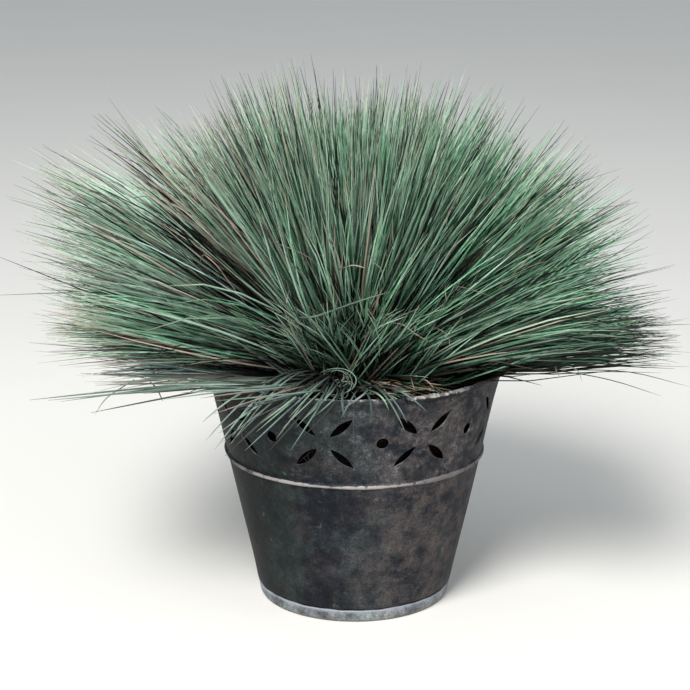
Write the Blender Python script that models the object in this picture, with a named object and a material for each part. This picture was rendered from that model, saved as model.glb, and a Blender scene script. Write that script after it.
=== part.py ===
"""Potted blue fescue clump.

A tapered zinc pot with a punched band of flowers holds a root ball. The grass stands out of
the crown on top of it in tufts, and a few short tufts hang over the front of the rim.
Metres, +Z up. The origin is the middle of the pot's flat underside. The front of the object,
where the clump is open and shows its crown, faces -Y, and azimuths are measured from there
towards +X.
"""

import math
import random

import bmesh
import bpy
from mathutils import Vector

# Pot
RIM_TOP = 0.1196
WALL_TOP_RADIUS = 0.0728
WALL_FOOT_RADIUS = 0.0468
SHEET = 0.0008
ROLL_RADIUS = 0.0014
ROLL_CENTRE_RADIUS = 0.0736
ROLL_FROM, ROLL_TO, ROLL_STEPS = -115, 175, 8
BEAD_HEIGHT = 0.0741
BEAD_HALF_WIDTH = 0.0016
BEAD_HALF_CREST = 0.0007
BEAD_DEPTH = 0.0013
FOOT_BAND = 0.0064
FOOT_ROUNDING = 0.0018
BASE_SHEET = 0.0012
CRIMP_DEPTH = 0.0012
GAP = 0.0003
POT_STEPS = 48

# Punched band. It was set out by hand, so its spacing varies a little.
BAND_HEIGHT = 0.0965
FLOWER_AZIMUTHS = (-55.4, -12.2, 27.9, 74.0, 120.1, 166.2, 212.4, 258.5)
DOT_AZIMUTHS = (-34.4, 11.0, 51.2, 97.0, 143.1, 189.3, 235.5, 281.6)
PETAL_ANGLE = math.radians(42.5)
PETAL_INNER = 0.0043
PETAL_OUTER = 0.0189
PETAL_HALF_WIDTH = 0.0021
PETAL_STEPS = 5
DOT_RADIUS = 0.0029
DOT_STEPS = 12
PUNCH_REACH = 0.0030

# Root ball and crown
SOIL_TOP = 0.1050
SOIL_TOP_RADIUS = 0.0630
SOIL_FOOT_RADIUS = 0.0405
SOIL_ROUNDING = 0.0035
SOIL_STEPS = 32
PLANT_CENTRE = 0.1000
CROWN_RADIUS = 0.0230
CROWN_RINGS = 4
CROWN_STEPS = 20

# Grass. A tuft is laid out straight from the plant's centre, and its weight then bends it down
# by an amount that depends only on how far out a point is, so straight neighbours that are
# apart stay apart. Tufts that hang over the rim bend again there.
SAG = 1.6
SAG_FAR = 1.5
SAG_FAR_START = 0.085
HANG = 26.0
HANG_START = 0.066

# Each tuft keeps inside a cone, halfway to its nearest neighbour. Shares below are of that
# cone's half angle for what is across the tuft, and of its reach for what is along it.
TUFT_SIDES = 6
CELL_FILL = 0.88
NECK_FILL = 0.80
CORE_FILL = 0.48
POINT_OUTSIDE = 0.94
POINT_TIP = 0.92
SPLIT_AT = 0.33
WAIST_AT = (0.68,)
HANGING_WAIST_AT = (0.62, 0.80)
SHORTEST_POINT = 0.93
JITTER = math.radians(0.9)
LEFT_STRETCH = 0.04

# Rings of tufts: name, elevation, reach, first azimuth, last azimuth, count
RINGS = (
    ("low", 30.5, 0.190, 60.0, 300.0, 14),
    ("middle", 45.5, 0.204, 49.0, 311.0, 13),
    ("high", 60.5, 0.179, 18.0, 342.0, 10),
    ("upper", 75.0, 0.164, 36.0, 324.0, 5),
    ("top", 90.0, 0.158, 0.0, 0.0, 1),
)
# Tufts that hang over the rim: azimuth, elevation, half angle, reach
HANGING = (
    (-45.0, 30.0, 5.0, 0.112),
    (-33.0, 29.5, 5.0, 0.117),
    (-21.0, 29.5, 5.0, 0.108),
    (-6.0, 30.0, 4.8, 0.099),
    (14.0, 30.0, 4.0, 0.103),
)

DARK_ZINC = (0.060, 0.058, 0.064)
PALE_ZINC = (0.30, 0.33, 0.35)
COMPOST = (0.030, 0.019, 0.013)
THATCH = (0.045, 0.026, 0.022)
BLUE_GREEN = (0.115, 0.235, 0.180)


def clear_scene():
    for found in list(bpy.data.objects):
        bpy.data.objects.remove(found, do_unlink=True)


def finish(name, colour, roughness, metallic):
    material = bpy.data.materials.new(name)
    material.use_nodes = True
    shader = material.node_tree.nodes["Principled BSDF"]
    shader.inputs["Base Color"].default_value = (*colour, 1.0)
    shader.inputs["Roughness"].default_value = roughness
    shader.inputs["Metallic"].default_value = metallic
    return material


def add_piece(name, bm, material=None, sharp_angle=40.0):
    bmesh.ops.recalc_face_normals(bm, faces=bm.faces)
    mesh = bpy.data.meshes.new(name)
    bm.to_mesh(mesh)
    bm.free()
    mesh.shade_smooth()
    mesh.set_sharp_from_angle(angle=math.radians(sharp_angle))
    if material:
        mesh.materials.append(material)
    piece = bpy.data.objects.new(name, mesh)
    bpy.context.scene.collection.objects.link(piece)
    return piece


def turned(profile, steps):
    """A solid of revolution. Its profile starts and ends on the axis or is a closed loop."""
    bm = bmesh.new()
    points = [bm.verts.new((radius, 0.0, height)) for radius, height in profile]
    on_axis = profile[0][0] == 0.0
    nexts = points[1:] if on_axis else points[1:] + points[:1]
    edges = [bm.edges.new(pair) for pair in zip(points, nexts)]
    bmesh.ops.spin(
        bm,
        geom=points + edges,
        cent=(0.0, 0.0, 0.0),
        axis=(0.0, 0.0, 1.0),
        angle=math.tau,
        steps=steps,
        use_merge=True,
    )
    bmesh.ops.remove_doubles(bm, verts=bm.verts, dist=1e-6)
    return bm


def skin(bm, lower, upper):
    """Faces between two loops of as many vertices."""
    for index in range(len(lower)):
        after = (index + 1) % len(lower)
        bm.faces.new((lower[index], lower[after], upper[after], upper[index]))


def wall_radius(height):
    """Outer radius of the tapered wall."""
    return WALL_FOOT_RADIUS + (WALL_TOP_RADIUS - WALL_FOOT_RADIUS) * height / RIM_TOP


def tucked_radius(height):
    """Outer radius of the wall at its foot, which is tucked in to take the crimped base."""
    return wall_radius(height) - CRIMP_DEPTH


def wall_profile():
    foot = BASE_SHEET + GAP
    tuck_top = FOOT_BAND + GAP
    shoulder = tuck_top + CRIMP_DEPTH
    roll_height = RIM_TOP - ROLL_RADIUS
    profile = [
        (tucked_radius(foot), foot),
        (tucked_radius(tuck_top), tuck_top),
        (wall_radius(shoulder), shoulder),
    ]
    for offset, proud in (
        (-BEAD_HALF_WIDTH, 0.0),
        (-BEAD_HALF_CREST, BEAD_DEPTH),
        (BEAD_HALF_CREST, BEAD_DEPTH),
        (BEAD_HALF_WIDTH, 0.0),
    ):
        height = BEAD_HEIGHT + offset
        profile.append((wall_radius(height) + proud, height))
    for step in range(ROLL_STEPS):
        share = step / (ROLL_STEPS - 1)
        angle = math.radians(ROLL_FROM + (ROLL_TO - ROLL_FROM) * share)
        radius = ROLL_CENTRE_RADIUS + ROLL_RADIUS * math.cos(angle)
        profile.append((radius, roll_height + ROLL_RADIUS * math.sin(angle)))
    inside_top = roll_height - ROLL_RADIUS
    profile += [
        (wall_radius(inside_top) - SHEET, inside_top),
        (wall_radius(shoulder) - SHEET, shoulder),
        (tucked_radius(tuck_top) - SHEET, tuck_top),
        (tucked_radius(foot) - SHEET, foot),
    ]
    return profile


def base_profile():
    """A flat disc whose edge is turned up round the foot of the wall."""
    lip_inside = tucked_radius(FOOT_BAND) + GAP
    return [
        (0.0, 0.0),
        (wall_radius(0.0) - FOOT_ROUNDING, 0.0),
        (wall_radius(0.0) - FOOT_ROUNDING / 3, FOOT_ROUNDING / 3),
        (wall_radius(FOOT_ROUNDING), FOOT_ROUNDING),
        (wall_radius(FOOT_BAND), FOOT_BAND),
        (lip_inside, FOOT_BAND),
        (tucked_radius(BASE_SHEET) + GAP, BASE_SHEET),
        (0.0, BASE_SHEET),
    ]


def petal_outline():
    """A pointed petal between two arcs, along its own x axis."""
    half_length = (PETAL_OUTER - PETAL_INNER) / 2
    arc = (half_length**2 + PETAL_HALF_WIDTH**2) / (2 * PETAL_HALF_WIDTH)
    upper = []
    for step in range(PETAL_STEPS + 1):
        along = half_length * (1 - 2 * step / PETAL_STEPS)
        upper.append((along, math.sqrt(arc**2 - along**2) - arc + PETAL_HALF_WIDTH))
    lower = [(along, -across) for along, across in reversed(upper[1:-1])]
    return upper + lower


def dot_outline():
    turns = [math.tau * step / DOT_STEPS for step in range(DOT_STEPS)]
    return [(DOT_RADIUS * math.cos(turn), DOT_RADIUS * math.sin(turn)) for turn in turns]


def add_punch(bm, outline, azimuth, height, turn):
    """Adds a punch with this outline that stands square to the wall."""
    slope = math.atan2(WALL_TOP_RADIUS - WALL_FOOT_RADIUS, RIM_TOP)
    across = Vector((math.cos(azimuth), math.sin(azimuth), 0.0))
    outwards = Vector((math.sin(azimuth), -math.cos(azimuth), 0.0))
    upwards = outwards * math.sin(slope) + Vector((0.0, 0.0, math.cos(slope)))
    normal = across.cross(upwards)
    centre = outwards * (wall_radius(height) - SHEET / 2) + Vector((0.0, 0.0, height))
    rings = []
    for depth in (-PUNCH_REACH, PUNCH_REACH):
        ring = []
        for x, y in outline:
            u = x * math.cos(turn) - y * math.sin(turn)
            v = x * math.sin(turn) + y * math.cos(turn)
            ring.append(bm.verts.new(centre + across * u + upwards * v + normal * depth))
        rings.append(ring)
    inner, outer = rings
    bm.faces.new(inner[::-1])
    bm.faces.new(outer)
    skin(bm, inner, outer)


def make_punches():
    """All the punches of the flower band, as one cutter."""
    bm = bmesh.new()
    middle = (PETAL_INNER + PETAL_OUTER) / 2
    for flower in FLOWER_AZIMUTHS:
        for turn in (PETAL_ANGLE, math.pi - PETAL_ANGLE, math.pi + PETAL_ANGLE, -PETAL_ANGLE):
            height = BAND_HEIGHT + middle * math.sin(turn)
            azimuth = math.radians(flower) + middle * math.cos(turn) / wall_radius(BAND_HEIGHT)
            add_punch(bm, petal_outline(), azimuth, height, turn)
    for dot in DOT_AZIMUTHS:
        add_punch(bm, dot_outline(), math.radians(dot), BAND_HEIGHT, 0.0)
    cutter = add_piece("band_punches", bm)
    cutter.hide_render = True
    cutter.display_type = "WIRE"
    return cutter


def make_pot():
    zinc = finish("dark_zinc", DARK_ZINC, 0.55, 0.6)
    wall = add_piece("pot_wall", turned(wall_profile(), POT_STEPS), zinc)
    cut = wall.modifiers.new("flower_band", "BOOLEAN")
    cut.operation = "DIFFERENCE"
    cut.solver = "EXACT"
    cut.object = make_punches()
    bare = finish("bare_zinc", PALE_ZINC, 0.5, 0.7)
    add_piece("pot_base", turned(base_profile(), POT_STEPS), bare)


def make_root_ball():
    foot = BASE_SHEET + 2 * GAP
    profile = [
        (0.0, foot),
        (SOIL_FOOT_RADIUS, foot),
        (SOIL_TOP_RADIUS, SOIL_TOP - SOIL_ROUNDING),
        (SOIL_TOP_RADIUS - SOIL_ROUNDING, SOIL_TOP),
        (0.0, SOIL_TOP),
    ]
    compost = finish("compost", COMPOST, 0.95, 0.0)
    add_piece("root_ball", turned(profile, SOIL_STEPS), compost)


def make_crown():
    """A low dome that sits on the root ball and whose surface the tufts start from."""
    foot = SOIL_TOP + GAP
    start = math.asin((foot - PLANT_CENTRE) / CROWN_RADIUS)
    profile = [(0.0, foot)]
    for ring in range(CROWN_RINGS):
        angle = start + (math.pi / 2 - start) * ring / CROWN_RINGS
        radius = CROWN_RADIUS * math.cos(angle)
        profile.append((radius, PLANT_CENTRE + CROWN_RADIUS * math.sin(angle)))
    profile.append((0.0, PLANT_CENTRE + CROWN_RADIUS))
    thatch = finish("old_thatch", THATCH, 0.9, 0.0)
    add_piece("crown", turned(profile, CROWN_STEPS), thatch)


def direction(azimuth, elevation):
    flat = math.cos(elevation)
    return Vector((flat * math.sin(azimuth), -flat * math.cos(azimuth), math.sin(elevation)))


def bent(straight, hang):
    """Where a point of the straight layout comes to lie under the grass's own weight."""
    reach = math.hypot(straight.x, straight.y)
    drop = SAG * reach**2
    drop += SAG_FAR * max(0.0, reach - SAG_FAR_START) ** 2
    drop += hang * max(0.0, reach - HANG_START) ** 2
    return Vector((straight.x, straight.y, PLANT_CENTRE + straight.z - drop))


def add_tuft(name, axis, half_angle, reach, hang, material, rng):
    """A bundle of blades that leaves the crown as one and parts into seven points."""
    side = axis.cross(Vector((0.0, 0.0, 1.0)))
    side = side.normalized() if side.length > 1e-6 else Vector((1.0, 0.0, 0.0))
    over = side.cross(axis)
    spread = math.tan(half_angle * CELL_FILL)
    first_turn = rng.uniform(0.0, math.tau / TUFT_SIDES)
    turns = [first_turn + math.tau * index / TUFT_SIDES for index in range(TUFT_SIDES)]
    waists = HANGING_WAIST_AT if hang else WAIST_AT
    bm = bmesh.new()

    def spot(along, across, turn):
        away = side * math.cos(turn) + over * math.sin(turn)
        return bm.verts.new(bent((axis + away * spread * across) * along, hang))

    def ring(along, across):
        return [spot(along, across, turn) for turn in turns]

    def close(loop, tip):
        for index in range(len(loop)):
            bm.faces.new((loop[index], loop[(index + 1) % len(loop)], tip))

    neck = ring(CROWN_RADIUS + GAP, NECK_FILL)
    outer = ring(reach * SPLIT_AT, 1.0)
    inner = ring(reach * SPLIT_AT, CORE_FILL)
    bm.faces.new(neck[::-1])
    skin(bm, neck, outer)
    for index, turn in enumerate(turns):
        after = (index + 1) % TUFT_SIDES
        middle = turn + math.pi / TUFT_SIDES
        loop = [outer[index], outer[after], inner[after], inner[index]]
        for waist in waists:
            left = 1.15 - waist
            inside = POINT_OUTSIDE - 0.42 * left
            corners = (
                (POINT_OUTSIDE, middle - left / 2),
                (POINT_OUTSIDE, middle + left / 2),
                (inside, middle + left / 2),
                (inside, middle - left / 2),
            )
            ahead = [spot(waist * reach, across, corner) for across, corner in corners]
            skin(bm, loop, ahead)
            loop = ahead
        close(loop, spot(reach * rng.uniform(SHORTEST_POINT, 1.0), POINT_TIP, middle))
    loop = inner
    for waist in waists:
        ahead = ring(waist * reach, CORE_FILL * (1.25 - waist))
        skin(bm, loop, ahead)
        loop = ahead
    close(loop, spot(reach, 0.0, 0.0))
    add_piece(name, bm, material, sharp_angle=30.0)


def ring_layout(rng):
    """(name, axis, reach) of every tuft of the rings."""
    found = []
    for name, elevation, reach, first, last, count in RINGS:
        for index in range(count):
            share = index / max(1, count - 1)
            azimuth = math.radians(first + (last - first) * share)
            tilt = math.radians(elevation)
            if count > 1:
                azimuth += rng.uniform(-JITTER, JITTER) / math.cos(tilt)
                tilt += rng.uniform(-JITTER, JITTER)
            stretch = 1.0 - LEFT_STRETCH * math.sin(azimuth) * math.cos(tilt)
            title = f"tuft_{name}_{index + 1:02d}"
            found.append((title, direction(azimuth, tilt), reach * stretch))
    return found


def make_tufts():
    rng = random.Random(4)
    grass = finish("fescue", BLUE_GREEN, 0.6, 0.0)
    layout = ring_layout(rng)
    for name, axis, reach in layout:
        nearest = min(axis.angle(other) for title, other, _ in layout if title != name)
        add_tuft(name, axis, nearest / 2, reach, 0.0, grass, rng)
    for index, (azimuth, elevation, half_angle, reach) in enumerate(HANGING):
        axis = direction(math.radians(azimuth), math.radians(elevation))
        name = f"tuft_hanging_{index + 1:02d}"
        add_tuft(name, axis, math.radians(half_angle), reach, HANG, grass, rng)


def main():
    clear_scene()
    make_pot()
    make_root_ball()
    make_crown()
    make_tufts()


main()
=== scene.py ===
"""Looks of a potted clump of blue fescue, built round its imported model.

Metres, +Z up, the origin in the middle of the pot's flat underside. The front of the clump,
where it is open and shows its crown, faces -Y. Azimuths are measured from there towards +X.
The sections follow the object as it is put together: pot, compost, crown, grass, then the
floor, the light and the camera.
"""

import math
import random

import bmesh
import bpy
import numpy as np
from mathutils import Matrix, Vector


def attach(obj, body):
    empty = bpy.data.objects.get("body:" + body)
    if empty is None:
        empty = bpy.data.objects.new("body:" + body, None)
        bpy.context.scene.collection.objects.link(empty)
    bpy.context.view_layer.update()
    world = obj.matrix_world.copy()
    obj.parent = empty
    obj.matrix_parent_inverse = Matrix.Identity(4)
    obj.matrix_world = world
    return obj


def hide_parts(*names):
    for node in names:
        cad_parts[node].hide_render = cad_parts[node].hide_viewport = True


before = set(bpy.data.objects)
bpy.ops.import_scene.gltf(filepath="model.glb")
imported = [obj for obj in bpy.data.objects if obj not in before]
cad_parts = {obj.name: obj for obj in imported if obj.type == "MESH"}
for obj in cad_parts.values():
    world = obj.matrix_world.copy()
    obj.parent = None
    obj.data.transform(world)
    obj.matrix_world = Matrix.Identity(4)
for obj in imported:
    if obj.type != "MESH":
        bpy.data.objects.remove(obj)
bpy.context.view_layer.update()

# ---------------------------------------------------------------------------------------
# Foot of the pot. A disc of bare galvanised sheet whose edge is turned up round the foot of
# the wall and crimped on. It is the palest part of the pot, dull, with grime along its edges.

RIM_TOP = 0.1196
WALL_TOP_RADIUS = 0.0728
WALL_FOOT_RADIUS = 0.0468
TAPER = (WALL_TOP_RADIUS - WALL_FOOT_RADIUS) / RIM_TOP
FOOT_BAND = 0.0064
FOOT_ROUNDING = 0.0018
BASE_SHEET = 0.0012
CRIMP_DEPTH = 0.0012
GAP = 0.0003


class Wire:
    """The output of a node. Wires and numbers add up as in a plain sum, by way of Math nodes."""

    def __init__(self, socket):
        self.socket, self.tree = socket, socket.id_data

    def to(self, socket):
        self.tree.links.new(self.socket, socket)

    def __add__(self, other):
        return maths("ADD", self, other)

    def __sub__(self, other):
        return maths("SUBTRACT", self, other)

    def __rsub__(self, other):
        return maths("SUBTRACT", other, self)

    def __mul__(self, other):
        return maths("MULTIPLY", self, other)

    def __pow__(self, other):
        return maths("POWER", self, other)


def place(tree, kind, feeds=None, **options):
    """Adds a node, sets its options, and gives each named or numbered input a wire or a value."""
    node = tree.nodes.new(kind)
    for option, value in options.items():
        setattr(node, option, value)
    for key, value in (feeds or {}).items():
        if isinstance(value, Wire):
            value.to(node.inputs[key])
        else:
            node.inputs[key].default_value = value
    return node


def wire(tree, kind, feeds=None, output=0, **options):
    return Wire(place(tree, kind, feeds, **options).outputs[output])


def maths(operation, *values, kind="ShaderNodeMath", **options):
    tree = next(value.tree for value in values if isinstance(value, Wire))
    return wire(tree, kind, dict(enumerate(values)), operation=operation, **options)


def vectors(operation, *values):
    return maths(operation, *values, kind="ShaderNodeVectorMath")


def scaled(vector, by):
    return wire(by.tree, "ShaderNodeVectorMath", {0: vector, 3: by}, operation="SCALE")


def length_of(x, y):
    flat = wire(x.tree, "ShaderNodeCombineXYZ", {0: x, 1: y})
    return wire(x.tree, "ShaderNodeVectorMath", {0: flat}, "Value", operation="LENGTH")


def apart(vector):
    """The three numbers of a vector."""
    node = place(vector.tree, "ShaderNodeSeparateXYZ", {0: vector})
    return [Wire(socket) for socket in node.outputs]


def surface(tree):
    """Where a point of the surface is, in metres."""
    return wire(tree, "ShaderNodeTexCoord", output="Object")


def ramp(value, start, end, low=0.0, high=1.0, kind="LINEAR"):
    feeds = {"Value": value, "From Min": start, "From Max": end, "To Min": low, "To Max": high}
    return wire(value.tree, "ShaderNodeMapRange", feeds, interpolation_type=kind)


def between(value, low, high):
    """0 where the value is under low, 1 where it is over high, and smooth in between."""
    return ramp(value, low, high, kind="SMOOTHSTEP")


def tinted(share, first, second):
    """The first colour, mixed towards the second by share."""
    first, second = ((*c, 1.0) if isinstance(c, tuple) else c for c in (first, second))
    return wire(share.tree, "ShaderNodeMix", {0: share, 6: first, 7: second}, 2, data_type="RGBA")


def noise(where, scale, detail=4.0, rough=0.6):
    feeds = {"Vector": where, "Scale": scale, "Detail": detail, "Roughness": rough}
    return wire(where.tree, "ShaderNodeTexNoise", feeds, "Fac")


def socket_kind(start):
    """The kind of a group's input, from its start value. One without a value gives its kind."""
    if isinstance(start, str):
        return f"NodeSocket{start}"
    if isinstance(start, tuple):
        return "NodeSocketColor" if len(start) == 4 else "NodeSocketVector"
    return f"NodeSocket{type(start).__name__.capitalize()}"


def new_group(name, kind, inputs, outputs):
    """A node group with these inputs and their start values, and outputs and their kinds. Also
    gives what finds the wire of an input, and the sockets of the outputs."""
    tree = bpy.data.node_groups.new(name, kind)
    add = tree.interface.new_socket
    for title, start in inputs.items():
        socket = add(title, in_out="INPUT", socket_type=socket_kind(start))
        if not isinstance(start, str):
            socket.default_value = start
    for title, output_kind in outputs.items():
        add(title, in_out="OUTPUT", socket_type=socket_kind(output_kind))
    sockets = tree.nodes.new("NodeGroupInput").outputs
    return tree, lambda title: Wire(sockets[title]), tree.nodes.new("NodeGroupOutput").inputs


def new_material(name, roughness, metallic=0.0, specular=0.5):
    """A material, its node tree and its Principled shader."""
    material = bpy.data.materials.new(name)
    material.use_nodes = True
    shader = material.node_tree.nodes["Principled BSDF"]
    shader.inputs["Roughness"].default_value = roughness
    shader.inputs["Metallic"].default_value = metallic
    shader.inputs["Specular IOR Level"].default_value = specular
    return material, material.node_tree, shader


def painted(material, shader, colour, height=None, distance=0.0, strength=1.0):
    """The material with this colour, and with bumps where there is a height for them."""
    colour.to(shader.inputs["Base Color"])
    if height is not None:
        feeds = {"Height": height, "Distance": distance, "Strength": strength}
        wire(height.tree, "ShaderNodeBump", feeds).to(shader.inputs["Normal"])
    return material


def layered(colour, *layers):
    """The colour with these (share, colour) layers over it, each mixed over the last."""
    for share, layer in layers:
        colour = tinted(share, colour, layer)
    return colour


def wall_radius(height):
    """Outer radius of the pot's tapered wall."""
    return WALL_FOOT_RADIUS + (WALL_TOP_RADIUS - WALL_FOOT_RADIUS) * height / RIM_TOP


def turned(profile, steps, unround, closed=False):
    """A skin of (radius, height) rows turned round the Z axis, as a bmesh with its seam closed."""
    turn = np.linspace(0.0, math.tau, steps, endpoint=False)
    radius, height = (np.array(column)[:, None] + 0.0 * turn for column in zip(*profile))
    radius, height = unround(radius, height, turn)
    points = np.stack([radius * np.sin(turn), -radius * np.cos(turn), height], axis=-1)
    bm = bmesh.new()
    rows = [[bm.verts.new(point) for point in row] for row in points]
    for row, ahead in zip(rows, rows[1:] + rows[:1] if closed else rows[1:]):
        for step in range(steps):
            after = (step + 1) % steps
            bm.faces.new((row[step], row[after], ahead[after], ahead[step]))
    bmesh.ops.remove_doubles(bm, verts=bm.verts, dist=1e-7)
    bmesh.ops.recalc_face_normals(bm, faces=bm.faces)
    return bm


def finished(name, bm, *materials):
    mesh = bpy.data.meshes.new(name)
    bm.to_mesh(mesh)
    bm.free()
    mesh.shade_smooth()
    mesh.set_sharp_from_angle(angle=math.radians(40.0))
    for material in materials:
        mesh.materials.append(material)
    piece = bpy.data.objects.new(name, mesh)
    bpy.context.scene.collection.objects.link(piece)
    return piece


def ripple(turn, height, seed, waves, climb=0.0):
    """A smooth random swing between about -1 and 1 that closes on itself round the pot."""
    rng = np.random.default_rng(seed)
    total = np.zeros(np.broadcast_shapes(np.shape(turn), np.shape(height)))
    for wave in waves:
        start, rise = rng.uniform(0.0, math.tau), rng.uniform(-climb, climb)
        total += np.sin(wave * turn + start + rise * height)
    return total / math.sqrt(len(waves))


ZINC_INPUTS = {
    "Dark": (0.014, 0.018, 0.028, 1.0), "Mid": (0.055, 0.053, 0.058, 1.0),
    "Verdigris": (0.044, 0.067, 0.068, 1.0), "Brown": (0.066, 0.051, 0.046, 1.0),
    "Scuff": (0.165, 0.175, 0.190, 1.0), "Scuffing": 0.60,
}
ZINC_OUTPUTS = {"Color": "Color", "Roughness": "Float", "Height": "Float"}
PALE_ZINC = {
    "Dark": (0.13, 0.14, 0.16), "Mid": (0.24, 0.26, 0.30), "Verdigris": (0.16, 0.21, 0.18),
    "Brown": (0.20, 0.20, 0.19), "Scuff": (0.34, 0.37, 0.41),
}


def make_zinc_group():
    """Weathered zinc: dark and pale blotches, greener on the left and browner on the right, with
    fine pale scuffs and grain over them."""
    tree, given, out = new_group("weathered_zinc", "ShaderNodeTree", ZINC_INPUTS, ZINC_OUTPUTS)
    where = surface(tree)
    side, _, _ = apart(where)
    clouds = noise(where, 46.0, 7.0, 0.70)
    patches = noise(where, 120.0, 6.0, 0.70)
    stains = noise(where, 38.0, 6.0, 0.66)
    scuffs = noise(where, 330.0, 6.0, 0.72)
    grain = noise(where, 1100.0, 3.0)
    rightward = between(stains * 0.06 + side, 0.0, 0.070)
    brown = rightward * between(patches, 0.42, 0.60)
    green = (1.0 - rightward) * between(stains, 0.46, 0.58)
    scuffed = between(scuffs, 0.44, 0.76) * between(patches, 0.40, 0.60)
    colour = layered(
        given("Dark"), (between(clouds, 0.43, 0.60), given("Mid")), (brown * 0.75, given("Brown")),
        (green * 0.8, given("Verdigris")), (scuffed * given("Scuffing"), given("Scuff")),
    )
    speckle = ramp(grain, 0.3, 0.7, 0.55, 1.45) * ramp(patches, 0.35, 0.65, 0.50, 1.50)
    scaled(colour, speckle).to(out["Color"])
    ramp(patches, 0.0, 1.0, 0.52, 0.84).to(out["Roughness"])
    (grain * 0.35 + patches).to(out["Height"])
    return tree


weathered_zinc = make_zinc_group()


def new_zinc(name, metallic, colours, dress):
    """A material of weathered zinc. Dress gets its place, its colour and the zinc's node, and
    gives the colour that it ends with."""
    material, tree, shader = new_material(name, 0.5, metallic, 0.25)
    weather = tree.nodes.new("ShaderNodeGroup")
    weather.node_tree = weathered_zinc
    for title, colour in colours.items():
        weather.inputs[title].default_value = (*colour, 1.0)
    colour, rough, height = (Wire(socket) for socket in weather.outputs)
    rough.to(shader.inputs["Roughness"])
    colour = dress(surface(tree), colour, weather)
    return painted(material, shader, colour, height, 0.00025)


def dress_foot(where, colour, weather):
    """The foot has grime along its bottom, dark spots, and a bright upper edge."""
    _, _, height = apart(where)
    ragged = noise(where, 130.0, 5.0, 0.7) * 0.0042 + height
    grimy = 1.0 - between(ragged, 0.0018, 0.0042)
    spots = between(noise(where, 190.0, 4.0, 0.65), 0.58, 0.68)
    edge = between(noise(where, 210.0, 5.0, 0.7) * 0.0090 + height, 0.0088, 0.0104)
    edge = edge * (between(ragged, 0.0070, 0.0084) * 0.5 + 0.4)
    grime = (grimy * 0.6, (0.30, 0.26, 0.15))
    return layered(colour, grime, (spots * 0.5, (0.14, 0.16, 0.15)), (edge, (0.29, 0.31, 0.35)))


def make_foot():
    def uneven(radius, height, turn):
        swing = 0.00018 * ripple(turn, height, 5, (5, 9, 17, 31))
        return radius, height + np.where(height > FOOT_BAND * 0.8, swing, 0.0)

    flat = wall_radius(0.0) - FOOT_ROUNDING
    profile = [(0.0, 0.0), (flat * 0.5, 0.0), (flat, 0.0)]
    for step in range(1, 7):
        angle = math.pi / 2 * step / 6
        out = flat + FOOT_ROUNDING * math.sin(angle)
        profile.append((out + 0.0004 * step / 6, FOOT_ROUNDING * (1.0 - math.cos(angle))))
    profile += [(wall_radius(height), height) for height in (0.0030, 0.0045, FOOT_BAND - 0.0004)]
    profile += [
        (wall_radius(FOOT_BAND) - 0.0003, FOOT_BAND),
        (wall_radius(FOOT_BAND) - CRIMP_DEPTH + GAP, FOOT_BAND),
        (wall_radius(BASE_SHEET) - CRIMP_DEPTH + GAP, BASE_SHEET),
        (flat * 0.5, BASE_SHEET),
        (0.0, BASE_SHEET),
    ]
    zinc = new_zinc("bare_zinc_foot", 0.35, PALE_ZINC, dress_foot)
    foot = finished("crimped_foot", turned(profile, 240, uneven), zinc)
    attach(foot, "root")
    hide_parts("pot_base")


make_foot()

# ---------------------------------------------------------------------------------------
# Wall of the pot. One sheet of zinc, rolled into a cone and seamed, with a bead pressed round
# it, a rolled rim, and a band of flowers and dots punched through it before rolling. It has
# weathered to a dark pewter, and is worn bright on the bead, the rim and the punched edges,
# with painted highlights on the bead and rim at the front and painted shade at its sides.

SHEET = 0.0008
BEAD_HEIGHT = 0.0741
BEAD_HALF_WIDTH = 0.0016
BEAD_DEPTH = 0.0013
ROLL_RADIUS = 0.0014
ROLL_CENTRE_RADIUS = 0.0736
NOTCH = math.radians(18.3)
BAND_HEIGHT = 0.0965
FLOWER_AZIMUTHS = (-55.4, -12.2, 27.9, 74.0, 120.1, 166.2, 212.4, 258.5)
DOT_AZIMUTHS = (-34.4, 11.0, 51.2, 97.0, 143.1, 189.3, 235.5, 281.6)
PETAL_ANGLE = math.radians(42.5)
PETAL_INNER = 0.0043
PETAL_OUTER = 0.0189
PETAL_HALF_WIDTH = 0.0021
DOT_RADIUS = 0.0029
PUNCH_REACH = 0.0030
EDGE_ZINC = {
    "Dark": (0.04, 0.04, 0.05), "Mid": (0.11, 0.11, 0.11), "Verdigris": (0.08, 0.10, 0.09),
    "Brown": (0.10, 0.09, 0.08), "Scuff": (0.26, 0.25, 0.24),
}


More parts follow.
